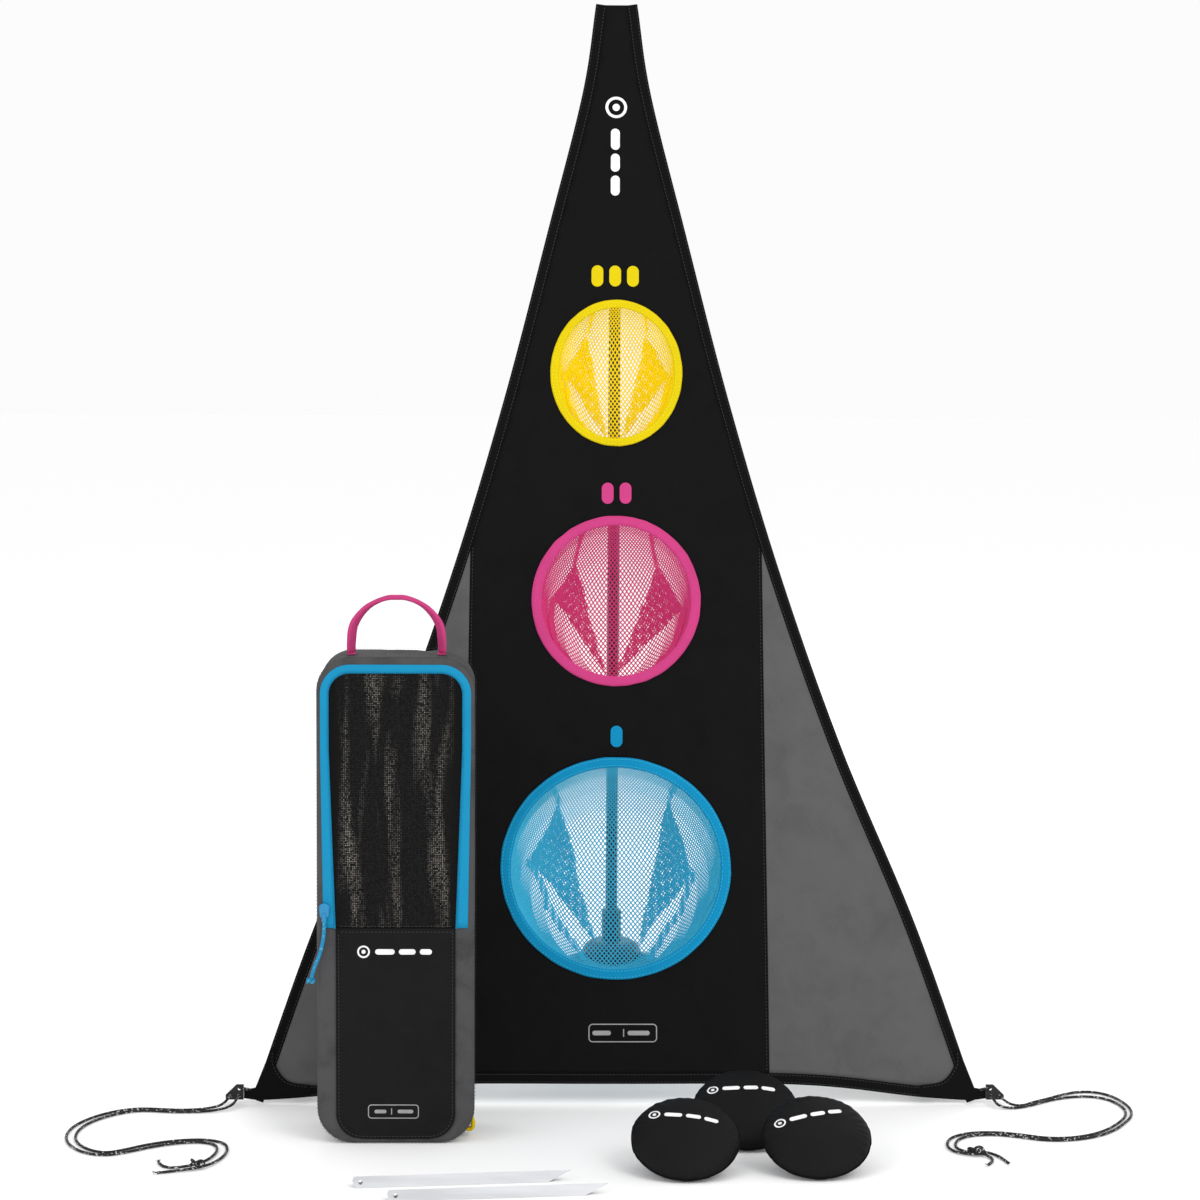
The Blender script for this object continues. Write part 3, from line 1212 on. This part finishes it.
def make_bag_prints():
    """A plain target sign with bars on the front panel, and a framed badge under it."""
    def place(x, z, n):
        return on_bag(x, z, n + 0.0003 + front_bulge(x, z))

    bars = [(x, 0.2115, half, 0.003) for x, half in ((-0.0115, 0.0105), (0.0125, 0.009), (0.0325, 0.0065))]
    make_sign("bag_", "bag", place, centre=(-0.0345, 0.2115), radii=(0.0068, 0.005), dot=0.0022, bars=bars)
    make_badge("bag_", "bag", place, centre=(-0.0025, 0.036),
               frames=((0.0275, 0.0078, 0.004), (0.0265, 0.0068, 0.003)),
               bars=((-0.0165, 0.0065, 0.002), (-0.0045, 0.0005, 0.0035), (0.0105, 0.0085, 0.002)))


# Throwing discs

DISC_TILT = math.radians(32)
DISC_TURNS = {"left": -9.0, "right": 14.0, "back": 0.0}
DISC_RADIUS, DISC_HALF = 0.0585, 0.016
MOST_MOVE = 0.004


def disc_frame(label):
    """Frame on a disc's face: x across, y up the slope, z out of the face."""
    place = centre_of(f"disc_{label}_cover")
    place.y, place.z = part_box(f"disc_{label}_cover")[0].y + 0.0508, 0.0342
    return Matrix.Translation(place) @ Matrix.Rotation(DISC_TILT, 4, "X")


def apply_modifiers(made):
    """Freeze the modified shape into the mesh."""
    graph = bpy.context.evaluated_depsgraph_get()
    graph.update()
    shaped = bpy.data.meshes.new_from_object(made.evaluated_get(graph), depsgraph=graph)
    made.modifiers.clear()
    made.data = shaped


def keep_outer(made):
    """Drop the inner skin that a hollow solid leaves after remeshing."""
    mesh = made.data
    links = [[] for _ in mesh.vertices]
    for edge in mesh.edges:
        a, b = edge.vertices
        links[a].append(b)
        links[b].append(a)
    highest = max(range(len(links)), key=lambda index: mesh.vertices[index].co.z)
    outer, waiting = {highest}, [highest]
    while waiting:
        fresh = [index for index in links[waiting.pop()] if index not in outer]
        outer.update(fresh)
        waiting += fresh
    order = {index: place for place, index in enumerate(sorted(outer))}
    faces = [tuple(order[index] for index in face.vertices)
             for face in mesh.polygons if face.vertices[0] in outer]
    skin = bpy.data.meshes.new(mesh.name + "_outer")
    skin.from_pydata([mesh.vertices[index].co.copy() for index in order], [], faces)
    made.data = skin


def blow_up(made):
    """Swell a cover under pressure, each point by no more than the most that it may move."""
    start = [vert.co.copy() for vert in made.data.vertices]
    cloth = made.modifiers.new("cloth", "CLOTH").settings
    cloth.use_pressure, cloth.uniform_pressure_force = True, 3.0
    cloth.quality, cloth.mass = 5, 0.25
    cloth.tension_stiffness = cloth.compression_stiffness = 12
    cloth.effector_weights.gravity = 0.0
    for step in range(1, 16):
        bpy.context.scene.frame_set(step)
    apply_modifiers(made)
    bpy.context.scene.frame_set(1)
    for vert, before in zip(made.data.vertices, start):
        move = vert.co - before
        vert.co = before + move * min(1.0, MOST_MOVE / max(move.length, 1e-9))


def disc_bag(label):
    """The cover as stuffed cloth: the CAD solid remeshed, smoothed, blown up and puckered."""
    made = bpy.data.objects.new(f"disc_{label}_cloth", frame["nodes"][f"disc_{label}_cover"].data.copy())
    bpy.context.scene.collection.objects.link(made)
    bpy.context.view_layer.objects.active = made
    remesh = made.modifiers.new("remesh", "REMESH")
    remesh.mode, remesh.voxel_size = "VOXEL", 0.0035
    smooth = made.modifiers.new("smooth", "SMOOTH")
    smooth.factor, smooth.iterations = 0.5, 14
    apply_modifiers(made)
    keep_outer(made)
    blow_up(made)
    here = disc_frame(label)
    inwards, out = here.inverted(), here.to_3x3() @ Z
    for vert in made.data.vertices:
        x, y, z = inwards @ vert.co
        if z > -0.004:
            near, angle = max(0.0, 1 - abs(math.hypot(x, y) - 0.054) / 0.02), math.atan2(y, x)
            pucker = 0.0007 * near * math.sin(angle * 34 + 2 * math.sin(angle * 5))
            vert.co += out * (pucker + 0.0011 * wander(x * 40, y * 40, DISC_TURNS[label]))
        vert.co.z = max(vert.co.z, 0.0002)
    made.data.materials.clear()
    made.data.materials.append(FINISH["disc_cover"])
    made.data.polygons.foreach_set("use_smooth", [True] * len(made.data.polygons))
    divide = made.modifiers.new("finer", "SUBSURF")
    divide.levels = divide.render_levels = 1
    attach(made, f"disc_{label}")
    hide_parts(f"disc_{label}_cover", f"disc_{label}_filling")
    return made.data


def make_disc(label):
    """Stuffed disc with a corded seam and a plain printed sign on its face."""
    mesh, body = disc_bag(label), f"disc_{label}"
    tree = BVHTree.FromPolygons([vert.co.copy() for vert in mesh.vertices],
                                [tuple(face.vertices) for face in mesh.polygons])
    here = disc_frame(label)
    back, normal = here.inverted(), (here.to_3x3() @ Z).normalized()
    cos, sin = polar(DISC_TURNS[label])

    def place(x, y, n):
        x, y = x * cos - y * sin, x * sin + y * cos
        hit = tree.ray_cast(here @ Vector((x, y, 0.04)), -normal)[0]
        return (hit or here @ Vector((x, y, DISC_HALF))) + normal * (n + 0.00035)

    seam = []
    for x, y in ellipse(1, 1, 120):
        aim = Vector((x, y, 0))
        hit = tree.ray_cast(here @ (aim * 0.09), -(here.to_3x3() @ aim))[0]
        spot = back @ hit if hit else aim * DISC_RADIUS
        spot.z = 0.0
        seam.append(here @ spot)
        seam[-1].z = max(seam[-1].z, 0.0018)
    stations = stations_on(seam, lambda _: normal, closed=True)
    cord = sweep(stations, ellipse(0.0011, 0.0011, 8), closed=True)
    piece(f"{body}_seam", cord, "tape", body, slot="disc_cover")
    bars = [(x, 0.018, half, 0.0028) for x, half in ((-0.0155, 0.0095), (0.006, 0.008), (0.025, 0.0075))]
    make_sign(f"{body}_", body, place, centre=(-0.0355, 0.018), radii=(0.0062, 0.0045), dot=0.002, bars=bars)


# Stand and stakes keep their CAD shapes

CAD_FINISHES = {
    "moulding": ["hub", "pole_tip"],
    "tube": ["leg_left", "leg_right", "leg_rear", "pole_lower", "pole_middle", "pole_upper"],
    "ferrule": ["ferrule_lower", "ferrule_middle"],
    "foot": ["foot_left", "foot_right", "foot_rear"],
    "elastic": ["pole_cord_lower", "pole_cord_middle", "pole_cord_upper"],
    "adjuster": ["tensioner_left", "tensioner_right"],
    "slider": ["zip_slider"],
    "stake": ["stake_front", "stake_back"],
}


def dress_cad_nodes():
    for finish, names in CAD_FINISHES.items():
        for name in names:
            for slot in frame["nodes"][name].material_slots:
                slot.material = FINISH[finish]


make_stage()
make_cords()
make_centre_panel()
for corner_label, corner_side in SIDES.items():
    make_side_panel(corner_label, corner_side)
    make_corner(corner_label, corner_side)
make_bindings()
make_sleeve()
for pocket_name in POCKETS:
    make_pocket(pocket_name)
make_prints()
make_bag_body()
make_front_panel()
make_window()
make_zip()
make_handle()
make_loop()
make_bag_prints()
for disc_label in DISC_TURNS:
    make_disc(disc_label)
dress_cad_nodes()

bpy.context.view_layer.update()
